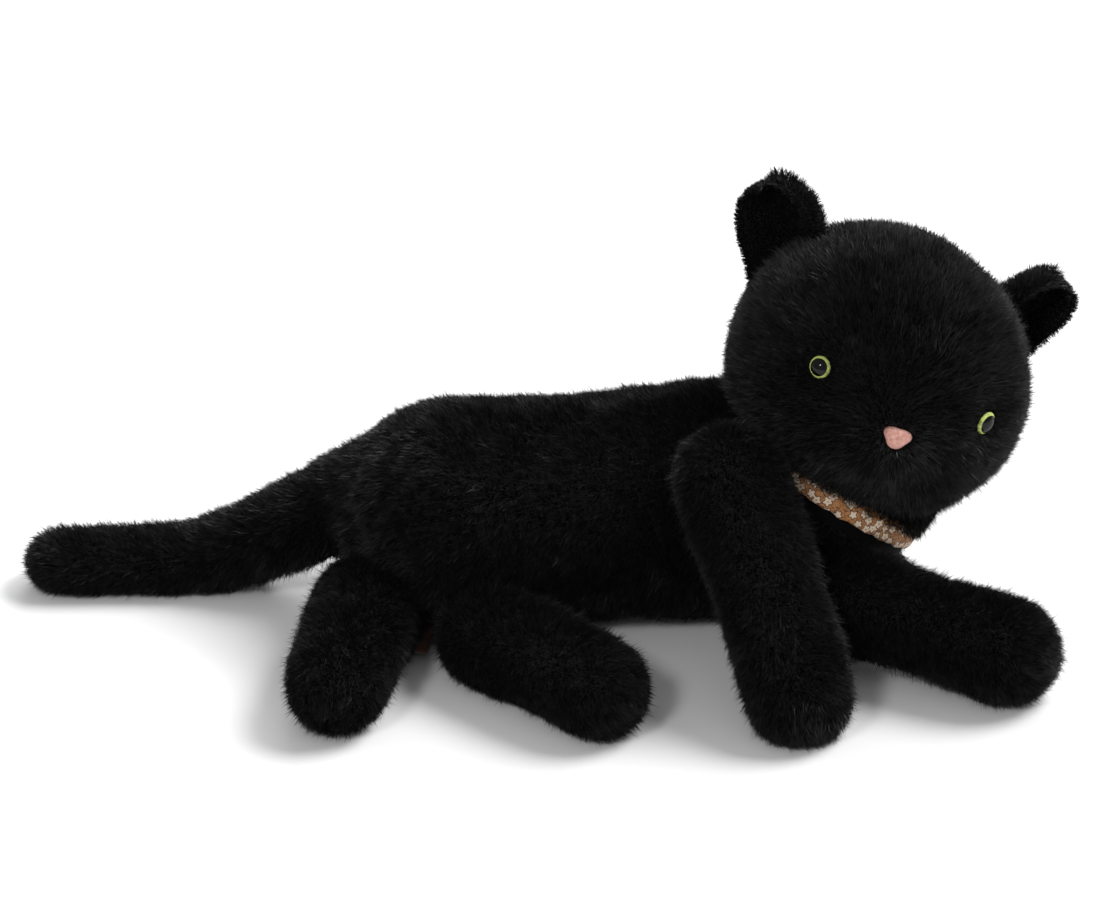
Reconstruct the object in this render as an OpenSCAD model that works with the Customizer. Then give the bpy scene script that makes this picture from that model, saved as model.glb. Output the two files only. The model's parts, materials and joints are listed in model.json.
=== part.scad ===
// Plush cat lying on the floor with its head turned to its right side.
// +X points from tail to chest, +Z is up, and the floor is the plane z = 0.
// The origin is on the floor, below the middle of the torso.
// Millimetres and degrees.

/* [Torso] */
// Radius of the fabric round the rump
rump_r = 42.5; // [38:0.5:46]
// Radius of the fabric round the chest
chest_r = 42.5; // [39:0.5:44]
// Distance from the middle of the rump to the middle of the chest
torso_len = 139; // [130:1:168]
// Angle of the torso's line from the X axis
torso_turn = 7; // [4:1:10]
// Depth by which the torso is pressed flat where it rests
rest_flat = 0.8; // [0.4:0.1:1.5]
// Thickness of the fur fabric
cover_t = 2.5; // [1.5:0.5:4]

/* [Neck and collar] */
// Radius of the neck inside the collar
neck_r = 39; // [36:0.5:40]
// Angle of the neck above the floor
neck_lift = 66; // [63:1:69]
// Angle of the neck from the X axis, seen from above
neck_side = 28; // [22:1:34]
// Angle of the collar's axis above the floor
collar_lift = 52; // [50:1:55]
// Angle of the collar's axis from the X axis, seen from above
collar_side = 32; // [28:1:36]
// Width of the collar band
collar_w = 12; // [8:0.5:13]
// Thickness of the folded collar band
collar_t = 1.4; // [1:0.1:2.5]

/* [Head] */
// Radius of the head
head_r = 57; // [54:0.5:58]
// Height of the crown above the middle of the head
crown_h = 50; // [46:0.5:60]
// Radius of the muzzle
muzzle_r = 22; // [19:0.5:25]
// Turn of the face from the X axis, seen from above
face_turn = -81; // [-88:1:-74]
// Lift of the nose above level
face_lift = 11; // [7:0.5:14]
// Tilt of the crown towards the chest
face_tilt = -23; // [-28:0.5:-18]

/* [Ears] */
// Height of an ear from the seam to the tip
ear_h = 30; // [25:1:36]
// Width of an ear at the seam
ear_w = 27; // [22:1:33]
// Thickness of an ear's back
ear_t = 4; // [3:0.5:6]
// Thickness of an ear's lining
lining_t = 1.5; // [1:0.5:2.5]

/* [Eyes and nose] */
// Diameter of an eye
eye_d = 10; // [8:0.5:12]
// Height of the clear dome over an eye
eye_dome_h = 2.4; // [1.8:0.1:3]
// Width of the nose
nose_w = 12; // [9:0.5:14]
// Thickness of the nose patch
nose_t = 1.2; // [0.8:0.1:2]

/* [Legs] */
// Radius of a foreleg
foreleg_r = 18.5; // [15:0.5:18.5]
// Radius of a hind leg
hind_leg_r = 17; // [15:0.5:18]
// Distance between the middles of a foreleg's two round ends
foreleg_len = 86; // [76:1:104]
// Distance between the middles of a hind leg's two round ends
hind_leg_len = 57; // [50:1:66]

/* [Tail] */
// Radius of the tail at the rump
tail_root_r = 16; // [13:0.5:17]
// Radius of the tail at its tip
tail_tip_r = 11; // [9:0.5:12]

/* [Joints] */
// Diameter of a joint's stem
stem_d = 6; // [5:0.5:8]
// Diameter of a limb joint's disc
disc_d = 18; // [15:0.5:18]
// Diameter of the neck joint's disc
neck_disc_d = 40; // [32:1:44]
// Thickness of a joint's disc, washer and lock ring
disc_t = 2; // [1.5:0.5:2.5]

/* [Hidden] */
$fn = 48;

FUR = [0.07, 0.065, 0.07];
FIBRE = [0.93, 0.93, 0.9];
PLASTIC = [0.85, 0.85, 0.82];

gap = 0.4;            // room between soft bodies that move on each other
stem_fit = 0.05;      // running fit of a stem in its washer
swing_flat = 1;
hole_fit = 0.3;       // room round a stem, a disc or a shank in fabric and stuffing
arc_step = 7.5;       // largest step of the arcs in an outline
far = 200;            // longer than any piece

function unit(v) = v / norm(v);
function compass(angle) = [cos(angle), sin(angle), 0];
function pointing(lift, side) = cos(lift) * compass(side) + [0, 0, sin(lift)];

// Torso: a tube with round ends that lies on the floor
rump = [0, 0, rump_r - rest_flat];
chest = torso_len * compass(torso_turn) + [0, 0, chest_r - rest_flat];
function torso_axis(share) = rump + (chest - rump) * share;
function torso_r(share) = rump_r + (chest_r - rump_r) * share;

// Neck and head: the head's round underside sits in a cup in the end of the neck
neck_dir = pointing(neck_lift, neck_side);
collar_dir = pointing(collar_lift, collar_side);
neck = chest + [8.6, -11.2, 9.8];
neck_below = 2;       // lengths of the neck's straight part below and above its middle
neck_above = 20;
cup_depth = 0.2;
collar_drop = 2.5;    // distance of the collar below the middle of the neck
collar_room = 0.5;
head = neck + neck_dir * (head_r - cup_depth);

// A leg is [middle of its root, compass angle of its paw, radius, length, aim of its stem]
// press is how far the root sits in the torso
function beside_torso(share, lift, leg_r, press) = torso_axis(share)
    + (torso_r(share) + leg_r + gap - press) * [0, -cos(lift), sin(lift)];
function lying_by_torso(share, side, leg_r, press) =
    let (axis = torso_axis(share), reach = torso_r(share) + leg_r + gap - press)
    let (drop = axis[2] - leg_r)
    axis + sqrt(reach ^ 2 - drop ^ 2) * compass(side) - [0, 0, drop];
right_foreleg = [beside_torso(0.745, 37, foreleg_r, 0), -61.5, foreleg_r, foreleg_len,
    torso_axis(0.745)];
left_foreleg = [beside_torso(1, -14, foreleg_r, 8), -23, foreleg_r, foreleg_len, torso_axis(1)];
right_hind_leg = [lying_by_torso(0.09, -90, hind_leg_r, 0), -42, hind_leg_r, hind_leg_len,
    torso_axis(0.09)];
left_hind_leg = [lying_by_torso(0, -137, hind_leg_r, 6), -101, hind_leg_r, hind_leg_len,
    rump + [-2, -6, 6]];
LEGS = [right_foreleg, left_foreleg, right_hind_leg, left_hind_leg];
function root(leg) = leg[0];
function leg_r(leg) = leg[2];
function paw(leg) = let (drop = root(leg)[2] - leg_r(leg))
    root(leg) + sqrt(leg[3] ^ 2 - drop ^ 2) * compass(leg[1]) - [0, 0, drop];
function stem_dir(leg) = unit(leg[4] - root(leg));

// Stem joints, measured from the middle of a leg's root or of the head: the disc's
// face, and the seat of the washer inside the torso
hole_r = stem_d / 2 + hole_fit;
lock_ring_d = 2 * stem_d;
stem_end = 1.5;
torso_inside_r = chest_r - cover_t;
function disc_face(inside_r, d) = sqrt(inside_r ^ 2 - (d / 2 + 2 * hole_fit) ^ 2) - 2 * hole_fit;
function leg_disc_face(leg) = disc_face(leg_r(leg) - cover_t, disc_d);
function washer_seat(leg) = leg_r(leg) + gap + cover_t + hole_fit
    + torso_inside_r - sqrt(torso_inside_r ^ 2 - (disc_d / 2) ^ 2);
neck_disc_face = disc_face(head_r - cover_t, neck_disc_d);
neck_washer_seat = head_r + gap + cover_t + hole_fit;

// Tail: three straight lengths that come down to the floor
tail_mid_r = tail_root_r - 1;
tail_low_r = tail_tip_r + 1.5;
tail_root = rump + [-rump_r - 1.6, 15.5, -2.3];
tail_mid = tail_root + [-26, -1.5, -12.4];
tail_low = [tail_mid[0] - 35, tail_mid[1] + 2, tail_low_r];
tail_end = [tail_low[0] - 56, tail_low[1] - 2, tail_tip_r];
tail_rim = 0.65;      // start of a length past its bend, as a share of the bend's radius

// Face and ears in the head's own frame: X to the face, Y to the left, Z to the crown
eye_side = 38;
muzzle = [head_r - 17, 0, -15];
nose_h = nose_w * 0.75;
nose_z = 1;
eye_back_t = 1.2;
eye_shank_d = 3;
eye_shank_len = 9;
eye_washer_d = 12;
eye_washer_t = 1.5;
eye_washer_seat = cover_t + 0.7;
ear_up = 58;          // angle of an ear's seam from straight up
ear_lean = 30;        // angle at which an ear stands from straight up
ear_turn = 40;        // turn of an ear's hollow away from the face, to its own side
ear_x = -14;
ear_sink = 18;        // length of ear outline below the seam, cut away by the head
lining_margin = 4;

// Label: a short folded ribbon between the hind legs
label_w = 9;
label_len = 24;
label_t = 0.8;
label_middle = rump + [-15.5, -28, -35.5];
label_turn = -12;     // turn of the label about the upright, and its slope to the floor
label_slope = 10;

torso_middle = torso_axis(0.5);
origin_shift = -[torso_middle[0], torso_middle[1], 0];

// Puts a piece that stands along +Z at a place, pointing along a direction
module along(place, direction) {
    d = unit(direction);
    translate(place)
        rotate([0, acos(d[2]), atan2(d[1], d[0])])
            children();
}

function arc(r, centre, from, to) =
    let (steps = ceil((to - from) / arc_step))
    [for (i = [0 : steps]) let (a = i == steps ? to : from + (to - from) * i / steps)
        [r * cos(a), centre + r * sin(a)]];

// A tube with round ends, between the middles of its ends; a small flat closes each end
module sausage(from, to, r_from, r_to) {
    reach = norm(to - from);
    tangent = asin((r_from - r_to) / reach);
    side = concat(arc(r_from, 0, arc_step - 90, tangent), arc(r_to, reach, tangent, 90 - arc_step));
    along(from, to - from)
        rotate_extrude()
            polygon(concat([[0, side[0][1]]], side, [[0, side[len(side) - 1][1]]]));
}

module ring(outer_r, bore_r, height) {
    difference() {
        cylinder(r = outer_r, h = height);
        translate([0, 0, -1])
            cylinder(r = bore_r, h = height + 2);
    }
}

// Everything below the given height
module under(height) {
    translate([-far, -far, height - 2 * far])
        cube(2 * far);
}

module in_head() {
    translate(head)
        rotate([face_tilt, -face_lift, face_turn])
            children();
}

module at_stem(leg) {
    along(root(leg), stem_dir(leg))
        children();
}

module at_neck_stem() {
    along(head, -neck_dir)
        children();
}

module at_collar() {
    along(neck - collar_drop * collar_dir, collar_dir)
        children();
}

// Outer shape of the torso, made smaller all round by shrink
module torso_solid(shrink) {
    difference() {
        union() {
            difference() {
                sausage(rump, chest, rump_r - shrink, chest_r - shrink);
                at_collar()
                    translate([0, 0, -collar_w / 2 - gap - shrink])
                        cylinder(r = neck_r + collar_t + collar_room + shrink, h = far);
            }
            sausage(neck - neck_below * collar_dir, neck + neck_above * collar_dir,
                neck_r - shrink, neck_r - shrink);
        }
        under(shrink);
        at_neck_stem()
            sphere(head_r + gap + shrink);
        for (leg = LEGS)
            at_stem(leg)
                sphere(leg_r(leg) + gap + shrink);
        translate(tail_root)
            sphere(tail_root_r + gap + shrink);
        at_stem(left_foreleg)
            swing_room(left_foreleg, shrink);
    }
}

// Cone swept by a pressed-in leg as it swings, cut flat just inside the leg's round end
module swing_room(leg, shrink) {
    line = paw(leg) - root(leg);
    lean = asin(line * (root(leg) - leg[4]) / norm(line) / norm(root(leg) - leg[4]));
    top = leg_r(leg) + gap + shrink - swing_flat;
    reach = (leg_r(leg) + 2 * gap + shrink) / cos(lean);
    cylinder(h = top, r1 = reach / tan(lean), r2 = (reach - top) / tan(lean));
}

// Room for the stems, and inside the torso for the washers and lock rings
module torso_stem_holes(r, len) {
    for (leg = LEGS)
        at_stem(leg)
            translate([0, 0, leg_r(leg)])
                cylinder(r = r, h = len);
    at_neck_stem()
        translate([0, 0, head_r])
            cylinder(r = r, h = len);
}

module torso_cover() {
    color(FUR)
        difference() {
            torso_solid(0);
            torso_solid(cover_t);
            torso_stem_holes(hole_r, 3 * cover_t);
        }
}

module washer_room(seat, d) {
    translate([0, 0, seat - hole_fit])
        cylinder(r = d / 2 + hole_fit, h = 2 * disc_t + stem_end + 2 * hole_fit);
}

module torso_stuffing() {
    color(FIBRE)
        difference() {
            torso_solid(cover_t);
            torso_stem_holes(hole_r, 3 * cover_t);
            for (leg = LEGS)
                at_stem(leg)
                    washer_room(washer_seat(leg), disc_d);
            at_neck_stem()
                washer_room(neck_washer_seat, neck_disc_d);
        }
}

module joint_washers() {
    color(PLASTIC) {
        for (leg = LEGS)
            at_stem(leg)
                translate([0, 0, washer_seat(leg)])
                    ring(disc_d / 2, stem_d / 2 + stem_fit, disc_t);
        at_neck_stem()
            translate([0, 0, neck_washer_seat])
                ring(neck_disc_d / 2, stem_d / 2 + stem_fit, disc_t);
    }
}

module collar() {
    color([0.62, 0.4, 0.2])
        at_collar()
            translate([0, 0, -collar_w / 2])
                ring(neck_r + collar_t, neck_r, collar_w);
}

module label_tag() {
    color([0.33, 0.2, 0.14])
        difference() {
            translate(label_middle)
                rotate([label_slope, 0, label_turn])
                    cube([label_w, label_len, label_t], center = true);
            sausage(rump, chest, rump_r, chest_r);
        }
}

// A disc with its stem; face is where the stem starts
module disc_and_stem(face, d, seat) {
    translate([0, 0, face - disc_t])
        cylinder(d = d, h = disc_t);
    translate([0, 0, face])
        cylinder(d = stem_d, h = seat + 2 * disc_t + stem_end - face);
}

module disc_room(face, d) {
    translate([0, 0, face - disc_t - hole_fit])
        cylinder(r = d / 2 + hole_fit, h = disc_t + 2 * hole_fit);
    translate([0, 0, face])
        cylinder(r = hole_r, h = far);
}

module lock_ring(seat) {
    translate([0, 0, seat + disc_t])
        ring(lock_ring_d / 2, stem_d / 2, disc_t);
}

module leg_cover(leg) {
    color(FUR)
        difference() {
            sausage(root(leg), paw(leg), leg_r(leg), leg_r(leg));
            leg_inside(leg);
            at_stem(leg)
                cylinder(r = hole_r, h = far);
        }
}

module leg_inside(leg) {
    sausage(root(leg), paw(leg), leg_r(leg) - cover_t, leg_r(leg) - cover_t);
}

module leg_stuffing(leg) {
    color(FIBRE)
        difference() {
            leg_inside(leg);
            at_stem(leg)
                disc_room(leg_disc_face(leg), disc_d);
        }
}

module leg_disc(leg) {
    color(PLASTIC)
        at_stem(leg)
            disc_and_stem(leg_disc_face(leg), disc_d, washer_seat(leg));
}

module leg_lock_ring(leg) {
    color(PLASTIC)
        at_stem(leg)
            lock_ring(washer_seat(leg));
}

module neck_disc() {
    color(PLASTIC)
        at_neck_stem()
            disc_and_stem(neck_disc_face, neck_disc_d, neck_washer_seat);
}

module neck_lock_ring() {
    color(PLASTIC)
        at_neck_stem()
            lock_ring(neck_washer_seat);
}

// Head with a round lower half, a flatter crown and a muzzle
module head_solid(shrink) {
    r = head_r - shrink;
    h = crown_h - shrink;
    crown = [for (point = arc(1, 0, 0, 90)) [r * point[0], h * point[1]]];
    in_head() {
        rotate_extrude()
            polygon(concat(arc(r, 0, -90, 0), crown));
        translate(muzzle)
            sphere(muzzle_r - shrink);
    }
}

// Puts a piece on the head where an eye sits; side is -1 for right and 1 for left
module at_eye(side) {
    in_head()
        along(head_r * compass(side * eye_side), compass(side * eye_side))
            children();
}

module head_cover() {
    color(FUR)
        difference() {
            head_solid(0);
            head_solid(cover_t);
            for (side = [-1, 1])
                at_eye(side)
                    translate([0, 0, -eye_shank_len])
                        cylinder(d = eye_shank_d + 2 * hole_fit, h = 2 * eye_shank_len);
            at_neck_stem()
                cylinder(r = hole_r, h = far);
        }
}

module head_stuffing() {
    color(FIBRE)
        difference() {
            head_solid(cover_t);
            for (side = [-1, 1])
                at_eye(side)
                    translate([0, 0, -eye_shank_len - hole_fit])
                        cylinder(d = eye_washer_d + 2 * hole_fit, h = 2 * eye_shank_len);
            at_neck_stem()
                disc_room(neck_disc_face, neck_disc_d);
        }
}

module eye(side) {
    color([0.62, 0.68, 0.2])
        at_eye(side) {
            cylinder(d = eye_d, h = eye_back_t);
            translate([0, 0, -eye_shank_len])
                cylinder(d = eye_shank_d, h = eye_shank_len);
        }
}

module eye_dome(side) {
    dome_r = ((eye_d / 2) ^ 2 + eye_dome_h ^ 2) / (2 * eye_dome_h);
    color([0.9, 0.95, 0.95, 0.4])
        at_eye(side)
            translate([0, 0, eye_back_t])
                intersection() {
                    translate([0, 0, eye_dome_h - dome_r])
                        sphere(dome_r);
                    cylinder(d = eye_d, h = eye_dome_h);
                }
}

module eye_washers() {
    color(PLASTIC)
        for (side = [-1, 1])
            at_eye(side)
                translate([0, 0, -eye_washer_seat - eye_washer_t])
                    ring(eye_washer_d / 2, eye_shank_d / 2, eye_washer_t);
}

// A rounded three-cornered patch that follows the muzzle
module nose() {
    corner_r = nose_h / 3;
    color([0.85, 0.55, 0.5])
        in_head()
            translate(muzzle)
                intersection() {
                    difference() {
                        sphere(muzzle_r + nose_t);
                        sphere(muzzle_r);
                    }
                    translate([0, 0, nose_z])
                        rotate([90, 0, 90])
                            linear_extrude(2 * muzzle_r)
                                hull() {
                                    for (side = [-1, 1])
                                        translate([side * (nose_w / 2 - corner_r), nose_h / 2 - corner_r])
                                            circle(corner_r);
                                    translate([0, corner_r - nose_h / 2])
                                        circle(corner_r);
                                }
                }
}

// An ear's outline standing on its seam, cut off below by the head
module ear_plate(side, width, height, from, thickness) {
    outline = [for (point = arc(1, 0, 0, 180)) [width / 2 * point[0], height * point[1]]];
    difference() {
        in_head()
            translate([ear_x, side * head_r * sin(ear_up), crown_h * cos(ear_up)])
                rotate([-side * ear_lean, 0, 0])
                    rotate([90, 0, 90 + side * ear_turn])
                        translate([0, 0, from])
                            linear_extrude(thickness)
                                polygon(concat([[width / 2, -ear_sink]], outline,
                                    [[-width / 2, -ear_sink]]));
        head_solid(0);
    }
}

module ear_back(side) {
    color(FUR)
        ear_plate(side, ear_w, ear_h, -ear_t, ear_t);
}

module ear_lining(side) {
    color([0.05, 0.045, 0.05])
        ear_plate(side, ear_w - 2 * lining_margin, ear_h - lining_margin, 0, lining_t);
}

// One length of tail, cut hollow where it turns on the length before it
module tail_solid(from, to, r_from, r_to, shrink, on_bend) {
    difference() {
        sausage(from, to, r_from - shrink, r_to - shrink);
        if (on_bend) {
            translate(from)
                sphere(r_from + gap + shrink);
            along(from, to - from)
                translate([-far, -far, tail_rim * r_from + shrink - 2 * far])
                    cube(2 * far);
        }
    }
}

module tail_cover(from, to, r_from, r_to, on_bend) {
    color(FUR)
        difference() {
            tail_solid(from, to, r_from, r_to, 0, on_bend);
            tail_solid(from, to, r_from, r_to, cover_t, on_bend);
        }
}

module tail_stuffing(from, to, r_from, r_to, on_bend) {
    color(FIBRE)
        tail_solid(from, to, r_from, r_to, cover_t, on_bend);
}

translate(origin_shift) {
    torso_cover();
    torso_stuffing();
    collar();
    label_tag();
    joint_washers();
    head_cover();
    head_stuffing();
    nose();
    eye_washers();
    neck_disc();
    neck_lock_ring();
    ear_back(-1);  // right_ear_back
    ear_lining(-1);  // right_ear_lining
    ear_back(1);  // left_ear_back
    ear_lining(1);  // left_ear_lining
    eye(-1);  // right_eye
    eye_dome(-1);  // right_eye_dome
    eye(1);  // left_eye
    eye_dome(1);  // left_eye_dome
    leg_cover(right_foreleg);  // right_foreleg_cover
    leg_stuffing(right_foreleg);  // right_foreleg_stuffing
    leg_disc(right_foreleg);  // right_foreleg_disc
    leg_lock_ring(right_foreleg);  // right_foreleg_lock_ring
    leg_cover(left_foreleg);  // left_foreleg_cover
    leg_stuffing(left_foreleg);  // left_foreleg_stuffing
    leg_disc(left_foreleg);  // left_foreleg_disc
    leg_lock_ring(left_foreleg);  // left_foreleg_lock_ring
    leg_cover(right_hind_leg);  // right_hind_leg_cover
    leg_stuffing(right_hind_leg);  // right_hind_leg_stuffing
    leg_disc(right_hind_leg);  // right_hind_leg_disc
    leg_lock_ring(right_hind_leg);  // right_hind_leg_lock_ring
    leg_cover(left_hind_leg);  // left_hind_leg_cover
    leg_stuffing(left_hind_leg);  // left_hind_leg_stuffing
    leg_disc(left_hind_leg);  // left_hind_leg_disc
    leg_lock_ring(left_hind_leg);  // left_hind_leg_lock_ring
    tail_cover(tail_root, tail_mid, tail_root_r, tail_mid_r, false);  // tail_base_cover
    tail_stuffing(tail_root, tail_mid, tail_root_r, tail_mid_r, false);  // tail_base_stuffing
    tail_cover(tail_mid, tail_low, tail_mid_r, tail_low_r, true);  // tail_middle_cover
    tail_stuffing(tail_mid, tail_low, tail_mid_r, tail_low_r, true);  // tail_middle_stuffing
    tail_cover(tail_low, tail_end, tail_low_r, tail_tip_r, true);  // tail_tip_cover
    tail_stuffing(tail_low, tail_end, tail_low_r, tail_tip_r, true);  // tail_tip_stuffing
}
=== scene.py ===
import json
import math

import bmesh
import bpy
import numpy as np
from mathutils import Matrix, Vector
from mathutils.bvhtree import BVHTree


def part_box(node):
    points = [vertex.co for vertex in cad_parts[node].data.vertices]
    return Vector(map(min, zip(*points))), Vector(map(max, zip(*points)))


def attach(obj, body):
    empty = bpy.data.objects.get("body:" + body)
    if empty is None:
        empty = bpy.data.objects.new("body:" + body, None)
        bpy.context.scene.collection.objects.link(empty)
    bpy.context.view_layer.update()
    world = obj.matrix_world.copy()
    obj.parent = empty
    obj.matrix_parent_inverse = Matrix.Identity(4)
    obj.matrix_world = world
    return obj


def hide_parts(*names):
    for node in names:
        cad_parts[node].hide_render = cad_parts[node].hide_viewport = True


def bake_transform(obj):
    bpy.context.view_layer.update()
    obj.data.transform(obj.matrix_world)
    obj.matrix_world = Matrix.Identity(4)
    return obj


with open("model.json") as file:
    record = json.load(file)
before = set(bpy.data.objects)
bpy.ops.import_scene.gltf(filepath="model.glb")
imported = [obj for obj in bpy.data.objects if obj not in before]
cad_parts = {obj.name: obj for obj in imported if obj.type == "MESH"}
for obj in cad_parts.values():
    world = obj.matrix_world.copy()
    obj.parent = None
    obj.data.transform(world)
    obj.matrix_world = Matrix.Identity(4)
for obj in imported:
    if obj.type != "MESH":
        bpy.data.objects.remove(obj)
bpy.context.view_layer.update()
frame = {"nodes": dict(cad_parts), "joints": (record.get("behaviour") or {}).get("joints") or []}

MM = 0.001

# Fur
FUR_LENGTH = 5.6 * MM
BLADE_WIDTH = 0.3 * MM
BLADES_PER_M2 = 6.5e6
LONG_SHARE = 0.08          # share of the blades that stand out longer, and how much longer
LONG_GROWTH = 1.4
TUFT_SIZE = 2.6 * MM
PATCH_SIZE = 11 * MM
ROOT_DEPTH = 0.8 * MM
FLOOR_CLEARANCE = 0.3 * MM
MOST_BLADES_PER_PIECE = 60000

# Stuffed skins
VOXEL = 4.6 * MM
SKIN_INSET = 0.6 * MM
PRESSURE = 4.0
CLOTH_FRAMES = 20
MOST_PUFF = 2.4 * MM
LINE_SEAM = 1.8 * MM       # half-width of a held seam on a leg or the torso

# Camera and light
VIEW_ELEVATION = math.radians(30)
VIEW_DISTANCE = 2.2
VIEW_WIDTH = 0.4384
VIEW_TARGET = Vector((-0.03298, -0.001465, 0.064))

JOINTS = {joint["name"]: joint for joint in frame["joints"]}
LEGS = ["right_foreleg", "left_foreleg", "right_hind_leg", "left_hind_leg"]


def unit(v):
    v = np.asarray(v, float)
    return v / np.maximum(np.linalg.norm(v, axis=-1, keepdims=True), 1e-12)


def pivot(joint):
    return np.array(JOINTS[joint]["pos_m"])


def centre(node):
    low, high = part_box(node)
    return np.array((low + high) / 2)


def smoothstep(x, low, high):
    t = np.clip((x - low) / (high - low), 0, 1)
    return t * t * (3 - 2 * t)


# ---------------------------------------------------------------- noise

def lattice(cell, seed):
    """A repeatable random value from -1 to 1 for each whole-number cell."""
    h = (cell[:, 0] * 374761393 + cell[:, 1] * 668265263 + cell[:, 2] * 1442695041
         + seed * 1274126177) & 0xFFFFFFFF
    h = ((h ^ (h >> 13)) * 1274126177) & 0xFFFFFFFF
    return ((h ^ (h >> 16)) & 0xFFFF) / 32767.5 - 1


def noise(points, size, seed):
    """Smooth noise from -1 to 1 whose bumps are about as wide as size."""
    place = points / size + 1000
    cell = np.floor(place).astype(np.int64)
    f = place - cell
    f = f * f * (3 - 2 * f)
    total = np.zeros(len(points))
    for corner in range(8):
        step = np.array([corner & 1, (corner >> 1) & 1, (corner >> 2) & 1])
        weight = np.prod(np.where(step, f, 1 - f), axis=1)
        total += weight * lattice(cell + step, seed)
    return total


def noise_vectors(points, size, seed):
    return np.stack([noise(points, size, seed + i) for i in range(3)], 1)


# ---------------------------------------------------------------- meshes

def new_object(name, verts, faces):
    mesh = bpy.data.meshes.new(name)
    mesh.from_pydata([tuple(v) for v in verts], [], faces)
    mesh.update()
    obj = bpy.data.objects.new(name, mesh)
    bpy.context.scene.collection.objects.link(obj)
    return obj


def remove(obj):
    bpy.data.objects.remove(obj, do_unlink=True)


def frame_from(direction):
    """Two unit vectors square to direction and to each other."""
    d = unit(direction)
    helper = np.array([0, 0, 1.0]) if abs(d[2]) < 0.9 else np.array([1.0, 0, 0])
    side = unit(np.cross(helper, d))
    return side, np.cross(d, side)


def lathe(points, place, direction, turns=32):
    """Verts and faces of (radius, height) points turned round a line; both ends are closed."""
    side, up = frame_from(direction)
    axis = unit(direction)
    verts, faces = [], []
    for radius, height in points:
        for i in range(turns):
            a = 2 * math.pi * i / turns
            verts.append(place + axis * height + radius * (math.cos(a) * side + math.sin(a) * up))
    for row in range(len(points) - 1):
        for i in range(turns):
            j = (i + 1) % turns
            a, b = row * turns, (row + 1) * turns
            faces.append((a + i, a + j, b + j, b + i))
    faces.append(tuple(reversed(range(turns))))
    last = (len(points) - 1) * turns
    faces.append(tuple(range(last, last + turns)))
    return verts, faces


def tube(place, direction, length, radius_at, caps=6, rows=12):
    """A tube with round ends whose radius follows radius_at(share of its length)."""
    first, last = radius_at(0.0), radius_at(1.0)
    points = []
    for i in range(1, caps):
        a = math.pi / 2 * i / caps
        points.append((first * math.sin(a), -first * math.cos(a)))
    for i in range(rows + 1):
        points.append((radius_at(i / rows), length * i / rows))
    for i in range(caps - 1, 0, -1):
        a = math.pi / 2 * i / caps
        points.append((last * math.sin(a), length + last * math.cos(a)))
    return lathe(points, place, direction)


def ball(place, radius, rows=16):
    points = [(radius * math.sin(math.pi * i / rows), -radius * math.cos(math.pi * i / rows))
              for i in range(1, rows)]
    return lathe(points, place, np.array([0, 0, 1.0]))


def applied(obj):
    """Puts the result of obj's modifiers into its mesh."""
    graph = bpy.context.evaluated_depsgraph_get()
    mesh = bpy.data.meshes.new_from_object(obj.evaluated_get(graph))
    obj.modifiers.clear()
    obj.data = mesh
    return obj


def fused(name, shapes, voxel=VOXEL):
    """One closed skin round all the (verts, faces) shapes."""
    verts, faces = [], []
    for shape_verts, shape_faces in shapes:
        base = len(verts)
        verts += shape_verts
        faces += [tuple(base + i for i in face) for face in shape_faces]
    obj = new_object(name, verts, faces)
    remesh = obj.modifiers.new("fuse", "REMESH")
    remesh.mode = "VOXEL"
    remesh.voxel_size = voxel
    applied(obj)
    relax = obj.modifiers.new("relax", "SMOOTH")
    relax.factor = 0.5
    relax.iterations = 3
    return applied(obj)


def coordinates(mesh):
    co = np.zeros(len(mesh.vertices) * 3)
    mesh.vertices.foreach_get("co", co)
    return co.reshape(-1, 3)


def put_coordinates(mesh, co):
    mesh.vertices.foreach_set("co", co.ravel())
    mesh.update()


def vertex_normals(mesh):
    normals = np.zeros(len(mesh.vertices) * 3)
    mesh.vertex_normals.foreach_get("vector", normals)
    return normals.reshape(-1, 3)


def stuffed(obj, seam, slack=0.02):
    """Blows the skin up by cloth simulation with its seams held, and limits how far it moves.

    seam(points) is 1 on a seam line, where the fabric is sewn down, and 0 away from it."""
    before = coordinates(obj.data)
    group = obj.vertex_groups.new(name="held")
    for i, held in enumerate(seam(before)):
        if held > 0.5:
            group.add([i], 1.0, "REPLACE")
    cloth = obj.modifiers.new("stuffing", "CLOTH")
    cloth.settings.quality = 6
    cloth.settings.mass = 0.25
    cloth.settings.tension_stiffness = 12
    cloth.settings.compression_stiffness = 12
    cloth.settings.bending_stiffness = 0.4
    cloth.settings.vertex_group_mass = "held"
    cloth.settings.use_pressure = True
    cloth.settings.uniform_pressure_force = PRESSURE
    cloth.settings.shrink_min = -slack
    cloth.settings.effector_weights.gravity = 0
    cloth.point_cache.frame_start = 1
    cloth.point_cache.frame_end = CLOTH_FRAMES
    for i in range(1, CLOTH_FRAMES + 1):
        bpy.context.scene.frame_set(i)
    applied(obj)
    bpy.context.scene.frame_set(1)
    moved = coordinates(obj.data) - before
    size = np.linalg.norm(moved, axis=1, keepdims=True)
    put_coordinates(obj.data, before + moved * np.minimum(1, MOST_PUFF / np.maximum(size, 1e-9)))
    smooth = obj.modifiers.new("smooth", "SUBSURF")
    smooth.levels = smooth.render_levels = 1
    return applied(obj)


def no_seam(points):
    return np.zeros(len(points))


def pushed_out_of(co, place, radius, soft=2.5 * MM):
    """Presses the points that lie in a ball out to its surface."""
    away = co - place
    distance = np.linalg.norm(away, axis=1, keepdims=True)
    wanted = np.maximum(distance, radius)
    near = distance < radius + soft
    eased = np.where(near, np.maximum(wanted, radius + (distance - radius + soft) ** 2
                                      / (4 * soft)), distance)
    eased = np.where(distance < radius - soft, radius, eased)
    return place + away / np.maximum(distance, 1e-9) * eased


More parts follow.
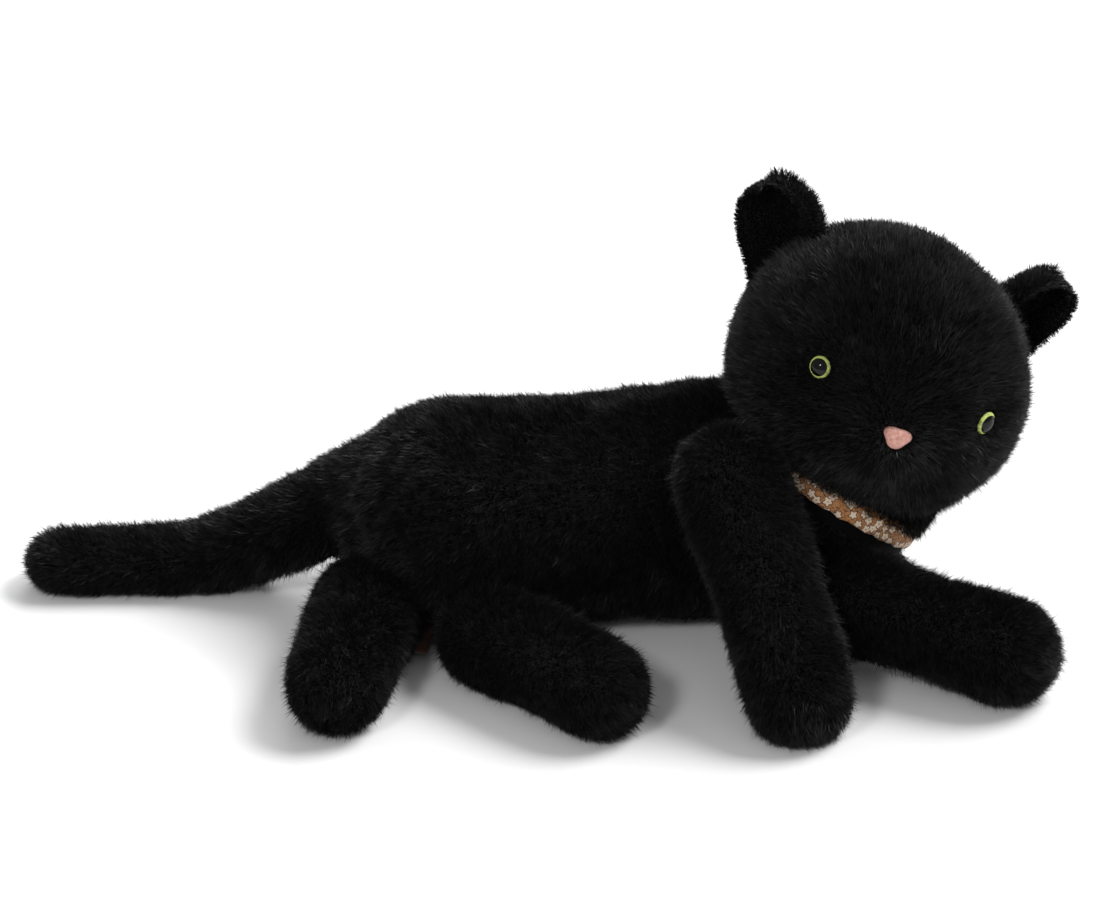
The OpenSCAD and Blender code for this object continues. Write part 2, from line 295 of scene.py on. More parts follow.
def above_floor(co, clearance=0.0):
    co[:, 2] = np.maximum(co[:, 2], clearance)
    return co


def turned_outward(obj, weld=0.0):
    """Turns every face outward; verts nearer together than weld become one first."""
    bm = bmesh.new()
    bm.from_mesh(obj.data)
    if weld:
        bmesh.ops.remove_doubles(bm, verts=bm.verts, dist=weld)
    bmesh.ops.recalc_face_normals(bm, faces=bm.faces)
    bm.to_mesh(obj.data)
    bm.free()


def shade_smooth(obj):
    obj.data.polygons.foreach_set("use_smooth", [True] * len(obj.data.polygons))
    return obj


# ---------------------------------------------------------------- materials

def material(name):
    mat = bpy.data.materials.new(name)
    mat.use_nodes = True
    nodes, links = mat.node_tree.nodes, mat.node_tree.links
    return mat, nodes, links, nodes["Principled BSDF"]


def ramp(nodes, stops):
    node = nodes.new("ShaderNodeValToRGB")
    while len(node.color_ramp.elements) < len(stops):
        node.color_ramp.elements.new(0.5)
    for element, (place, colour) in zip(node.color_ramp.elements, stops):
        element.position = place
        element.color = (*colour, 1)
    return node


def patterned(nodes, links, shader, texture, scale, stops):
    """Colours a surface between the stops by a fine texture. Returns its place and texture."""
    place = nodes.new("ShaderNodeTexCoord")
    pattern = nodes.new(texture)
    pattern.inputs["Scale"].default_value = scale
    links.new(place.outputs["Object"], pattern.inputs["Vector"])
    colours = ramp(nodes, stops)
    links.new(pattern.outputs["Fac"], colours.inputs["Fac"])
    links.new(colours.outputs["Color"], shader.inputs["Base Color"])
    return place, pattern


def relief(nodes, links, shader, height, strength, distance):
    """Gives a surface a fine relief that follows a height."""
    bump = nodes.new("ShaderNodeBump")
    bump.inputs["Strength"].default_value = strength
    bump.inputs["Distance"].default_value = distance
    links.new(height, bump.inputs["Height"])
    links.new(bump.outputs["Normal"], shader.inputs["Normal"])


def fur_material():
    """Black pile, each blade of its own tone, with painted shade that darkens it from cool
    charcoal at the tip to near black at the root.
    """
    mat, nodes, links, shader = material("fur")
    along = nodes.new("ShaderNodeAttribute")
    along.attribute_name = "along"
    tone = nodes.new("ShaderNodeAttribute")
    tone.attribute_name = "tone"
    mix = nodes.new("ShaderNodeMath")
    mix.operation = "MULTIPLY"
    links.new(along.outputs["Fac"], mix.inputs[0])
    links.new(tone.outputs["Fac"], mix.inputs[1])
    # Painted shade: the ramp darkens each blade towards its root, by along times the blade's own
    # tone.
    colours = ramp(nodes, [(0.0, (0.0006, 0.0006, 0.0007)), (0.45, (0.003, 0.0028, 0.0031)),
                           (1.0, (0.015, 0.0138, 0.0150))])
    links.new(mix.outputs[0], colours.inputs["Fac"])
    links.new(colours.outputs["Color"], shader.inputs["Base Color"])
    rough = nodes.new("ShaderNodeMapRange")
    rough.inputs["To Min"].default_value = 0.62
    rough.inputs["To Max"].default_value = 0.42
    links.new(tone.outputs["Fac"], rough.inputs["Value"])
    links.new(rough.outputs["Result"], shader.inputs["Roughness"])
    shader.inputs["Specular IOR Level"].default_value = 0.35
    shader.inputs["Sheen Weight"].default_value = 0.06
    shader.inputs["Sheen Roughness"].default_value = 0.4
    shader.inputs["Sheen Tint"].default_value = (0.85, 0.85, 0.95, 1)
    return mat


def skin_material():
    """The dark knitted backing that shows between the roots of the pile."""
    mat, nodes, links, shader = material("backing")
    _, knit = patterned(nodes, links, shader, "ShaderNodeTexWave", 900,
                        [(0.0, (0.0012, 0.0012, 0.0014)), (1.0, (0.004, 0.0038, 0.0042))])
    knit.inputs["Distortion"].default_value = 2
    relief(nodes, links, shader, knit.outputs["Fac"], 0.4, 0.3 * MM)
    shader.inputs["Roughness"].default_value = 0.95
    shader.inputs["Specular IOR Level"].default_value = 0.1
    return mat


FUR = fur_material()
BACKING = skin_material()


# ---------------------------------------------------------------- fur

def triangles_of(mesh):
    mesh.calc_loop_triangles()
    tris = np.zeros(len(mesh.loop_triangles) * 3, np.int32)
    mesh.loop_triangles.foreach_get("vertices", tris)
    return tris.reshape(-1, 3)


def scattered(mesh, density, rng, wanted):
    """Points spread over the mesh, with their normals. wanted(points) is the share kept."""
    co, normals, tris = coordinates(mesh), vertex_normals(mesh), triangles_of(mesh)
    a, b, c = (co[tris[:, i]] for i in range(3))
    area = np.linalg.norm(np.cross(b - a, c - a), axis=1) / 2
    count = int(area.sum() * density)
    chosen = rng.choice(len(tris), count, p=area / area.sum())
    r = np.sqrt(rng.random(count))
    s = rng.random(count)
    weights = np.stack([1 - r, r * (1 - s), r * s], 1)
    corners = tris[chosen]
    points = np.einsum("ij,ijk->ik", weights, co[corners])
    facing = unit(np.einsum("ij,ijk->ik", weights, normals[corners]))
    kept = rng.random(count) < wanted(points)
    return points[kept], facing[kept]


def blade_mesh(name, roots, middles, tips, side, width, tone):
    """Thin two-step blades as one mesh with the attributes that the fur material reads."""
    n = len(roots)
    half = side * width[:, None] / 2
    verts = np.stack([roots - half, roots + half, middles - half * 0.85, middles + half * 0.85,
                      tips], 1).reshape(-1, 3)
    base = np.arange(n, dtype=np.int32)[:, None] * 5
    loops = (base + np.array([0, 1, 3, 2, 2, 3, 4], np.int32)).ravel()
    starts = (np.arange(n, dtype=np.int32)[:, None] * 7 + np.array([0, 4], np.int32)).ravel()
    mesh = bpy.data.meshes.new(name)
    mesh.vertices.add(5 * n)
    mesh.vertices.foreach_set("co", verts.ravel())
    mesh.loops.add(7 * n)
    mesh.loops.foreach_set("vertex_index", loops)
    mesh.polygons.add(2 * n)
    mesh.polygons.foreach_set("loop_start", starts)
    mesh.update(calc_edges=True)
    # along runs from 0 at the root to 1 at the tip; the fur material uses it to paint shade that
    # darkens each blade towards its root.
    along = mesh.attributes.new("along", "FLOAT", "POINT")
    along.data.foreach_set("value", np.tile([0, 0, 0.55, 0.55, 1.0], n).astype(np.float32))
    tones = mesh.attributes.new("tone", "FLOAT", "POINT")
    tones.data.foreach_set("value", np.repeat(tone, 5).astype(np.float32))
    mesh.materials.append(FUR)
    return mesh


def grow(name, skin, flow, seed, length=FUR_LENGTH, density=BLADES_PER_M2, lean=0.6,
         wanted=lambda p: np.ones(len(p)), shorten=lambda p: np.ones(len(p))):
    """Fur pieces over a skin, combed along flow(points, normals). Returns the new objects.

    lean is how flat the blades lie; shorten(points) is their share of the length. Each blade
    wanders with its tuft and its patch, and the tip bends over more than the root."""
    rng = np.random.default_rng(seed)
    points, normals = scattered(skin.data, density, rng, wanted)
    order = np.argsort(points[:, 0], kind="stable")
    points, normals = points[order], normals[order]
    n = len(points)
    combed = flow(points, normals)
    combed = unit(combed - normals * np.sum(combed * normals, 1, keepdims=True))
    tuft = noise_vectors(points, TUFT_SIZE, seed + 10)
    patch = noise_vectors(points, PATCH_SIZE, seed + 20)
    scale = length * shorten(points) * (0.72 + 0.5 * rng.random(n)) * (1 + 0.12 * patch[:, 0])
    scale *= np.where(rng.random(n) < LONG_SHARE, LONG_GROWTH, 1)
    lie = lean * (1 + 0.35 * patch[:, 1:2]) + 0.2 * rng.standard_normal((n, 1))
    wander = 0.5 * tuft + 0.3 * patch + 0.22 * rng.standard_normal((n, 3))
    low = unit(normals + 0.35 * lie * combed + 0.4 * wander)
    high = unit(normals + 1.15 * lie * combed + 1.0 * wander)
    high = unit(high + np.maximum(0.1 - np.sum(high * normals, 1, keepdims=True), 0) * normals)
    roots = points - normals * ROOT_DEPTH
    middles = points + low * (scale * 0.5)[:, None]
    tips = middles + high * (scale * 0.5)[:, None]
    side = unit(np.cross(high, unit(rng.standard_normal((n, 3)))))
    width = BLADE_WIDTH * (0.7 + 0.6 * rng.random(n))
    tone = np.clip(0.5 + 0.22 * rng.standard_normal(n) + 0.2 * patch[:, 2], 0.05, 1)
    for part in (roots, middles, tips):
        above_floor(part, FLOOR_CLEARANCE)
    pieces = []
    total = math.ceil(n / MOST_BLADES_PER_PIECE)
    for k in range(total):
        part = slice(n * k // total, n * (k + 1) // total)
        mesh = blade_mesh(f"{name}_{k + 1}", roots[part], middles[part], tips[part],
                          side[part], width[part], tone[part])
        obj = bpy.data.objects.new(mesh.name, mesh)
        bpy.context.scene.collection.objects.link(obj)
        pieces.append(obj)
    return pieces


def dress(skin):
    skin.data.materials.clear()
    skin.data.materials.append(BACKING)
    shade_smooth(skin)


def finish_body(skin, fur, body):
    dress(skin)
    for obj in [skin, *fur]:
        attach(obj, body)


# ---------------------------------------------------------------- head

head_at = pivot("neck_turn")
right_eye_at, left_eye_at = centre("right_eye_dome"), centre("left_eye_dome")
nose_at = centre("nose")
face_y = unit(left_eye_at - right_eye_at)
face_x = unit((left_eye_at + right_eye_at) / 2 - head_at)
face_z = np.cross(face_x, face_y)
FACE = np.stack([face_x, face_y, face_z])


def in_head(points):
    """Points in the head's own frame: X to the face, Y to the left ear, Z to the crown."""
    return (points - head_at) @ FACE.T


def from_head(points):
    return np.asarray(points) @ FACE + head_at


EYE_STANDS = 2.4 * MM      # height of the middle of an eye's dome over the head
MUZZLE_R = 22 * MM
MUZZLE_IN = 17 * MM
MUZZLE_DOWN = 15 * MM
CROWN_HEIGHT = 49.5 * MM
CHIN_GROWTH = 1.03
CHEEK_GROWTH = 0.05
CHEEK_SHIFT = 2.4 * MM     # the cheeks sit a little to the head's left
CHIN_SAG = 2.0 * MM
head_r = float(np.linalg.norm(right_eye_at - head_at)) - EYE_STANDS
muzzle_at = from_head([head_r - MUZZLE_IN, 0, -MUZZLE_DOWN])


def head_shapes():
    """The skull with full cheeks below a flatter crown, and the muzzle."""
    verts, faces = ball(np.zeros(3), head_r - SKIN_INSET, rows=24)
    verts = np.array(verts)
    upper = verts[:, 2] > 0
    flatter = (CROWN_HEIGHT - SKIN_INSET) / (head_r - SKIN_INSET)
    verts[:, 2] *= np.where(upper, flatter, CHIN_GROWTH)
    low = smoothstep(-verts[:, 2], -25 * MM, 30 * MM)
    verts[:, 1] *= 1.0 + CHEEK_GROWTH * low
    front = smoothstep(verts[:, 0], -10 * MM, 30 * MM)
    verts[:, 2] -= CHIN_SAG * low * front
    verts[:, 1] += CHEEK_SHIFT * smoothstep(-verts[:, 2], -30 * MM, 10 * MM)
    skull = (list(from_head(verts)), faces)
    return [skull, ball(muzzle_at, MUZZLE_R - SKIN_INSET)]


GUSSET_HALF_WIDTH = 15 * MM
GUSSET_SPREAD = 0.22
GUSSET_SEAM = 2.2 * MM


def head_seams(points):
    """The gusset's two seams, from the nose over the crown to the neck."""
    p = in_head(points)
    half_gusset = GUSSET_HALF_WIDTH + GUSSET_SPREAD * np.maximum(p[:, 2], 0)
    near = np.abs(np.abs(p[:, 1]) - half_gusset) < GUSSET_SEAM
    return (near & (p[:, 0] < head_r * 0.9) & (p[:, 2] > -10 * MM)).astype(float)


def head_flow(points, normals):
    """Combed away from the nose, then down the back of the head."""
    away = unit(points - nose_at)
    p = in_head(points)
    back = smoothstep(-p[:, 0], -5 * MM, 35 * MM)[:, None]
    return away * (1 - back) + (-face_z) * back


BARE_ROUND_EYE = 5.2 * MM


def clear_of_face(points):
    """0 where an eye sits, 1 elsewhere."""
    kept = np.ones(len(points))
    for eye in (right_eye_at, left_eye_at):
        kept *= np.linalg.norm(points - eye, axis=1) > BARE_ROUND_EYE
    return kept


def shorter_round_face(points):
    """The pile is clipped round the eyes and the nose."""
    share = np.ones(len(points))
    for eye in (right_eye_at, left_eye_at):
        share *= 0.5 + 0.5 * smoothstep(np.linalg.norm(points - eye, axis=1), 5 * MM, 14 * MM)
    share *= 0.5 + 0.5 * smoothstep(np.linalg.norm(points - nose_at, axis=1), 5 * MM, 20 * MM)
    return share


head_skin = stuffed(fused("head_skin", head_shapes()), head_seams)
head_tree = BVHTree.FromPolygons([v.co for v in head_skin.data.vertices],
                                 [tuple(p.vertices) for p in head_skin.data.polygons])


def on_head(point, direction):
    """Where a line from outside meets the head's skin, and the skin's normal there."""
    start = Vector(point) + Vector(direction) * 0.05
    place, normal, _, _ = head_tree.ray_cast(start, -Vector(direction))
    return np.array(place), np.array(normal)


# ---------------------------------------------------------------- nose

nose_dir = unit(nose_at - muzzle_at)
nose_side = unit(np.cross(face_z, nose_dir))
nose_up = np.cross(nose_dir, nose_side)
NOSE_W = 12.5 * MM
NOSE_H = 9.4 * MM
NOSE_STANDS = 1.5 * MM
NOSE_THREAD = 0.45 * MM


def nose_outline(angle):
    """Half-width of a rounded three-cornered patch at an angle round its middle."""
    x, z = math.cos(angle), math.sin(angle)
    corner = 0.12 * math.cos(3 * (angle + math.pi / 2))
    return np.array([x * NOSE_W / 2, z * NOSE_H / 2]) * (0.9 + corner)


def build_nose():
    """A crowned satin patch, laid on the muzzle ring by ring."""
    rings, turns = 9, 48
    verts, faces = [], []
    for ring in range(rings + 1):
        share = ring / rings
        for i in range(turns):
            flat = nose_outline(2 * math.pi * i / turns) * share
            place, _ = on_head(nose_at + nose_side * flat[0] + nose_up * flat[1], nose_dir)
            lift = NOSE_STANDS * math.sqrt(max(0, 1 - share ** 4))
            verts.append(place + nose_dir * lift)
    for ring in range(rings):
        for i in range(turns):
            j = (i + 1) % turns
            a, b = ring * turns, (ring + 1) * turns
            faces.append((a + i, b + i, b + j, a + j))
    obj = new_object("nose_patch", verts, faces)
    mat, nodes, links, shader = material("nose_satin")
    place, _ = patterned(nodes, links, shader, "ShaderNodeTexNoise", 900,
                         [(0.3, (0.5, 0.21, 0.165)), (0.7, (0.74, 0.4, 0.33))])
    turn = nodes.new("ShaderNodeVectorMath")
    turn.operation = "DOT_PRODUCT"
    turn.inputs[1].default_value = tuple(nose_side * 0.8 + nose_up * 0.6)
    links.new(place.outputs["Object"], turn.inputs[0])
    thread = nodes.new("ShaderNodeMath")
    thread.operation = "MULTIPLY"
    thread.inputs[1].default_value = 2 * math.pi / NOSE_THREAD
    links.new(turn.outputs["Value"], thread.inputs[0])
    wave = nodes.new("ShaderNodeMath")
    wave.operation = "SINE"
    links.new(thread.outputs[0], wave.inputs[0])
    relief(nodes, links, shader, wave.outputs[0], 0.35, 0.12 * MM)
    shader.inputs["Roughness"].default_value = 0.42
    shader.inputs["Sheen Weight"].default_value = 0.3
    obj.data.materials.append(mat)
    shade_smooth(obj)
    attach(obj, "head")
    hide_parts("nose")


build_nose()


def clear_of_nose(points):
    """False where the nose's patch is sewn on, True elsewhere."""
    flat = points - nose_at
    across = (flat @ nose_side) / (NOSE_W / 2)
    up = (flat @ nose_up) / (NOSE_H / 2)
    return (across ** 2 + up ** 2 > 0.95) | (np.linalg.norm(flat, axis=1) > 12 * MM)


head_fur = grow("head_fur", head_skin, head_flow, 11, lean=0.75,
                wanted=lambda p: clear_of_face(p) * clear_of_nose(p),
                shorten=shorter_round_face)
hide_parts("head_cover", "head_stuffing")
finish_body(head_skin, head_fur, "head")


# ---------------------------------------------------------------- eyes

def eye_material(name, base, spread):
    mat, nodes, links, shader = material(name)
    darker = tuple(c * (1 - spread) for c in base)
    patterned(nodes, links, shader, "ShaderNodeTexNoise", 1500, [(0.35, darker), (0.65, base)])
    shader.inputs["Roughness"].default_value = 0.3
    shader.inputs["Specular IOR Level"].default_value = 0.0
    shader.inputs["Coat Weight"].default_value = 0.5
    shader.inputs["Coat Roughness"].default_value = 0.015
    return mat


PUPIL = eye_material("pupil", (0.002, 0.002, 0.002), 0.5)
IRIS = eye_material("iris", (0.62, 0.72, 0.2), 0.3)
EYE_RIM = eye_material("eye_rim", (0.01, 0.012, 0.008), 0.3)


EYE_DOME = 2.9 * MM
EYE_LIFT = 1.2 * MM
PUPIL_SHARE = 0.755        # outer edges of the pupil and the iris, as shares of the radius
IRIS_SHARE = 0.965


def build_eye(side, at):
    """A domed toy eye: black pupil, thin yellow-green ring and dark rim."""
    low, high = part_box(side + "_eye_dome")
    radius = max(high - low) / 2
    outward = unit(at - head_at)
    surface, _ = on_head(at, outward)
    ball_r = (radius ** 2 + EYE_DOME ** 2) / (2 * EYE_DOME)
    points = []
    for i in range(17):
        a = math.asin(radius / ball_r) * i / 16
        points.append((max(ball_r * math.sin(a), 0.02 * MM),
                       ball_r * (math.cos(a) - 1) + EYE_DOME))
    points.append((radius * 1.02, -0.5 * MM))
    points.append((radius * 0.7, -2.5 * MM))
    verts, faces = lathe(points, surface + outward * EYE_LIFT, outward, turns=40)
    obj = new_object(side + "_eye_glass", verts, faces)
    for mat in (PUPIL, IRIS, EYE_RIM):
        obj.data.materials.append(mat)
    for face in obj.data.polygons:
        away = Vector(face.center) - Vector(surface)
        across = (away - Vector(outward) * away.dot(Vector(outward))).length / radius
        face.material_index = 0 if across < PUPIL_SHARE else 1 if across < IRIS_SHARE else 2
    turned_outward(obj)
    shade_smooth(obj)
    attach(obj, "head")
    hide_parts(side + "_eye", side + "_eye_dome")


build_eye("right", right_eye_at)
build_eye("left", left_eye_at)


# ---------------------------------------------------------------- ears

EAR_STANDS = 25 * MM
EAR_FULLNESS = 1.18
EAR_THICK = 3.2 * MM
EAR_CUP = 9 * MM


def build_ear(side, sign, seed):
    """A cupped ear: furred back, and a short dark lining in the hollow."""
    co = coordinates(frame["nodes"][side + "_ear_back"].data)
    middle = co.mean(0)
    facing = np.linalg.svd(co - middle, full_matrices=False)[2][2]
    facing *= np.sign(np.dot(facing, face_x))
    tip = co[np.argmax(np.linalg.norm(co - head_at, axis=1))]
    up = tip - middle
    up = unit(up - facing * np.dot(up, facing))
    across = np.cross(facing, up)
    width = np.ptp(co @ across) * EAR_FULLNESS
    height = EAR_STANDS
    top = max((co - middle) @ up)
    sideways = np.dot(centre(side + "_ear_back") - middle, across)
    root = middle + up * (top - height) + across * sideways
    rows, columns = 14, 18
    thick, cup = EAR_THICK, EAR_CUP

    def place(u, v, depth):
        reach = width / 2 * math.sqrt(max(1 - max(v, 0) ** 2.6, 0)) * (1 + 0.06 * math.sin(3 * v))
        curl = cup * (u ** 2) * (1 - 0.25 * v) + 5 * MM * v * v * 0.5
        inner = 4 * MM * max(0, -sign * u) ** 2
        return (root + across * (u * reach * 0.93) + up * (v * height)
                + facing * (curl + inner - cup * 0.45 + depth))

    verts, faces = [], []
    for layer, depth in enumerate((-thick, 0.0)):
        for r in range(rows + 1):
            for c in range(columns + 1):
                v = -0.6 + 1.6 * r / rows
                u = 2 * c / columns - 1
                bulge = thick * 0.5 * (1 - u * u) * (1 - max(v, 0) ** 2)
                verts.append(place(u, v, depth - bulge if layer == 0 else depth))
    stride = columns + 1
    back = (rows + 1) * stride
    for r in range(rows):
        for c in range(columns):
            a = r * stride + c
            faces.append((a, a + 1, a + 1 + stride, a + stride))
            faces.append((back + a, back + a + stride, back + a + 1 + stride, back + a + 1))
    edge = ([(0, c) for c in range(columns)] + [(r, columns) for r in range(rows)]
            + [(rows, c) for c in range(columns, 0, -1)] + [(r, 0) for r in range(rows, 0, -1)])
    for (r0, c0), (r1, c1) in zip(edge, edge[1:] + edge[:1]):
        a, b = r0 * stride + c0, r1 * stride + c1
        faces.append((b, a, back + a, back + b))
    obj = new_object(side + "_ear_skin", verts, faces)
    turned_outward(obj, weld=0.05 * MM)

    def flow(points, normals):
        return np.tile(up, (len(points), 1)) + 0.2 * facing

    def front(points):
        """1 in the hollow, 0 on the back and at the edge."""
        away = points - root
        u = (away @ across) / (width / 2)
        v = (away @ up) / height
        sheet = cup * u ** 2 * (1 - 0.25 * v) + 2.5 * MM * v * v - cup * 0.45
        return smoothstep(away @ facing - sheet, -1.2 * MM, -0.4 * MM)

    fur = grow(side + "_ear_fur", obj, flow, seed, length=FUR_LENGTH * 0.9, lean=0.5,
               shorten=lambda q: 1 - 0.5 * front(q))
    dress(obj)
    for piece in [obj, *fur]:
        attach(piece, "head")
    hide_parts(side + "_ear_back", side + "_ear_lining")


build_ear("right", -1, 31)
build_ear("left", 1, 32)


# ---------------------------------------------------------------- legs

def leg_facts(name):
    """Middle of the root, middle of the paw's end and radius of a leg."""
    low, high = (np.array(corner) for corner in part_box(name + "_cover"))
    root = pivot(name + "_swing")
    radius = min(root[0] - low[0], high[0] - root[0])
    paw = np.array([high[0] - radius, low[1] + radius, low[2] + radius])
    if root[0] - low[0] > high[0] - root[0]:
        paw[0] = low[0] + radius
    return root, paw, float(radius)


LEG_FACTS = {name: leg_facts(name) for name in LEGS}
# How much thicker each leg is at its root, and how much thinner above the paw
LEG_SHAPES = {"right_foreleg": (0.06, 0.02), "left_foreleg": (0.0, 0.12),
              "right_hind_leg": (0.05, -0.05), "left_hind_leg": (0.17, -0.06)}
# How much nearer the head the right foreleg's root is shown than the CAD has it
SHOULDER_SHIFT = np.array([5.0, 0, 0]) * MM
# Length added to each leg at its paw
LEG_REACH = {"right_foreleg": 4 * MM, "left_foreleg": -1 * MM,
             "right_hind_leg": 1.5 * MM, "left_hind_leg": 0.5 * MM}


def build_leg(name, seed):
    """A stuffed sausage from its root to its paw, combed towards the paw."""
    root, paw, radius = LEG_FACTS[name]
    if name == "right_foreleg":
        root = root + SHOULDER_SHIFT
    line = paw - root
    length = float(np.linalg.norm(line))
    axis = line / length
    length += LEG_REACH[name]

    shoulder_share, ankle_share = LEG_SHAPES[name]

    def radius_at(share):
        shoulder = shoulder_share * math.exp(-(share / 0.4) ** 2)
        ankle = -ankle_share * math.exp(-((share - 0.6) / 0.22) ** 2)
        return (radius - SKIN_INSET) * (1 + shoulder + ankle)

    def seams(points):
        """The seam along the underside."""
        away = points - root
        side = unit(np.cross(axis, [0, 0, 1.0]))
        off = away - np.outer(away @ axis, axis)
        under = np.cross(side, axis)
        near = (np.abs(off @ side) < LINE_SEAM) & (off @ under < 0)
        return near.astype(float)

    def flow(points, normals):
        away = points - root
        share = np.clip((away @ axis) / length, 0, 1)[:, None]
        return np.tile(axis, (len(points), 1)) + 0.15 * share * np.array([0, 0, -1.0])

    skin = fused(name + "_skin", [tube(root, axis, length, radius_at)])
    stuffed(skin, seams)
    put_coordinates(skin.data, above_floor(coordinates(skin.data)))
    fur = grow(name + "_fur", skin, flow, seed)
    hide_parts(name + "_cover", name + "_stuffing")
    finish_body(skin, fur, name)


for number, leg in enumerate(LEGS):
    build_leg(leg, 41 + number)


# ---------------------------------------------------------------- torso

torso_low = np.array(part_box("torso_cover")[0])
TORSO_R = 42.5 * MM
RUMP_BESIDE_TAIL = 15.5 * MM
rump_at = np.array([torso_low[0] + TORSO_R, pivot("tail_lift")[1] - RUMP_BESIDE_TAIL,
                    torso_low[2] + TORSO_R])
chest_at = np.array([-rump_at[0], -rump_at[1], rump_at[2]])
collar_at = centre("collar")
collar_dir = unit([0.5221, 0.3262, 0.788])
NECK_R = 39 * MM
NECK_BELOW_COLLAR = 12 * MM
NECK_LENGTH = 30 * MM
HAUNCH_R = 37              # millimetres at the rump, and how much slimmer at the tail
HAUNCH_TAPER = 20.4
spine = chest_at - rump_at
spine_length = float(np.linalg.norm(spine))
spine_dir = spine / spine_length


right_side = unit(np.cross(spine_dir, [0, 0, 1.0]))
# Start and end of each wrinkle (share of the torso's length, lift in degrees) and depth in mm
CREASES = [(0.41, 52, 0.49, 18, 1.5), (0.55, 20, 0.65, -6, 1.3), (0.18, 37, 0.24, 28, 1.2),
           (0.31, 17, 0.41, 30, 1.2), (-0.12, 57, -0.29, -17, 2.4), (-0.23, 100, -0.31, -8, 2.0),
           (-0.14, 79, -0.19, 53, 1.6)]


def torso_radius(share):
    withers = 0.05 * smoothstep(share, 0.35, 0.9)
    return TORSO_R * (1 + withers) - SKIN_INSET


def torso_seams(points):
    """The seams along the back and the belly."""
    away = points - rump_at
    side = unit(np.cross([0, 0, 1.0], spine_dir))
    off = away - np.outer(away @ spine_dir, spine_dir)
    near = np.abs(off @ side) < LINE_SEAM
    return near.astype(float)


CREASE_BOW = 0.12          # bend of a wrinkle, as a share of its length
CREASE_WIDTH = 2.6 * MM
RIDGE_AWAY = 6 * MM
RIDGE_WIDTH = 3 * MM


def creased(co, normals):
    """Presses the wrinkles of the slack plush on the right side and rump into the skin."""
    away = co - rump_at
    share = away @ spine_dir / spine_length
    off = away - np.outer(away @ spine_dir, spine_dir)
    lift = np.arctan2(off[:, 2], off @ right_side)
    place = np.stack([share * spine_length, lift * TORSO_R], 1)
    depth = np.zeros(len(co))
    for share_a, lift_a, share_b, lift_b, deep in CREASES:
        a = np.array([share_a * spine_length, math.radians(lift_a) * TORSO_R])
        b = np.array([share_b * spine_length, math.radians(lift_b) * TORSO_R])
        t = np.clip((place - a) @ (b - a) / np.dot(b - a, b - a), 0, 1)
        bow = CREASE_BOW * np.linalg.norm(b - a) * np.sin(math.pi * t)
        nearest = a + t[:, None] * (b - a) + bow[:, None] * unit([b[1] - a[1], a[0] - b[0]])
        distance = np.linalg.norm(place - nearest, axis=1)
        valley = np.exp(-(distance / CREASE_WIDTH) ** 2)
        ridge = 0.45 * np.exp(-((distance - RIDGE_AWAY) / RIDGE_WIDTH) ** 2)
        depth += deep * MM * (valley - ridge)
    return co - normals * depth[:, None]


def torso_flow(points, normals):
    down = np.array([0, 0, -1.0])
    return -spine_dir + 0.45 * down


def build_torso():
    """One stuffed skin from the neck to the tail's root, with hollows for the head and legs."""
    body = tube(rump_at, spine_dir, spine_length, torso_radius, rows=16)
    neck = tube(collar_at - collar_dir * NECK_BELOW_COLLAR, collar_dir, NECK_LENGTH,
                lambda share: NECK_R - SKIN_INSET, rows=4)
    chest = ball(chest_at + np.array([3.5, 0, 1]) * MM, TORSO_R * 1.03)
    tail_at = pivot("tail_lift")
    haunch = tube(rump_at, tail_at - rump_at, float(np.linalg.norm(tail_at - rump_at)),
                  lambda share: (HAUNCH_R - HAUNCH_TAPER * share ** 1.3) * MM, rows=10)
    skin = fused("torso_skin", [body, neck, chest, haunch])
    stuffed(skin, torso_seams)
    co = creased(coordinates(skin.data), vertex_normals(skin.data))
    co = pushed_out_of(co, head_at, head_r - 0.5 * MM)
    for name in LEGS:
        root, _, radius = LEG_FACTS[name]
        co = pushed_out_of(co, root, radius)
    put_coordinates(skin.data, above_floor(co))

    def wanted(points):
        """Bare under the head, the legs' round ends and the collar."""
        kept = np.linalg.norm(points - head_at, axis=1) > head_r + 2 * MM
        for name in LEGS:
            root, _, radius = LEG_FACTS[name]
            kept &= np.linalg.norm(points - root, axis=1) > radius + 2.5 * MM
        away = points - collar_at
        along_neck = away @ collar_dir
        kept &= ~((np.abs(along_neck) < 6 * MM)
                  & (np.linalg.norm(away, axis=1) < 46 * MM))
        return kept.astype(float)

    fur = grow("torso_fur", skin, torso_flow, 51, wanted=wanted)
    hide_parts("torso_cover", "torso_stuffing")
    finish_body(skin, fur, "torso")


build_torso()


# ---------------------------------------------------------------- tail

TAIL = [pivot("tail_lift"), pivot("tail_middle_swing"), pivot("tail_tip_swing")]
tail_tip_low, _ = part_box("tail_tip_cover")
TAIL_TIP_R = 11 * MM
TAIL.append(np.array([tail_tip_low[0] + TAIL_TIP_R, TAIL[2][1] - 2 * MM, TAIL_TIP_R]))
TAIL_R = [16 * MM, 15 * MM, 12.5 * MM, TAIL_TIP_R]


def smooth_path(points, steps):
    """A smooth path through the points (Catmull-Rom)."""
    p = [2 * points[0] - points[1], *points, 2 * points[-1] - points[-2]]
    path = []
    for i in range(1, len(p) - 2):
        for k in range(steps):
            t = k / steps
            path.append(0.5 * (2 * p[i] + (p[i + 1] - p[i - 1]) * t
                        + (2 * p[i - 1] - 5 * p[i] + 4 * p[i + 1] - p[i + 2]) * t ** 2
                        + (3 * p[i] - p[i - 1] - 3 * p[i + 1] + p[i + 2]) * t ** 3))
    path.append(p[-2])
    return np.array(path)


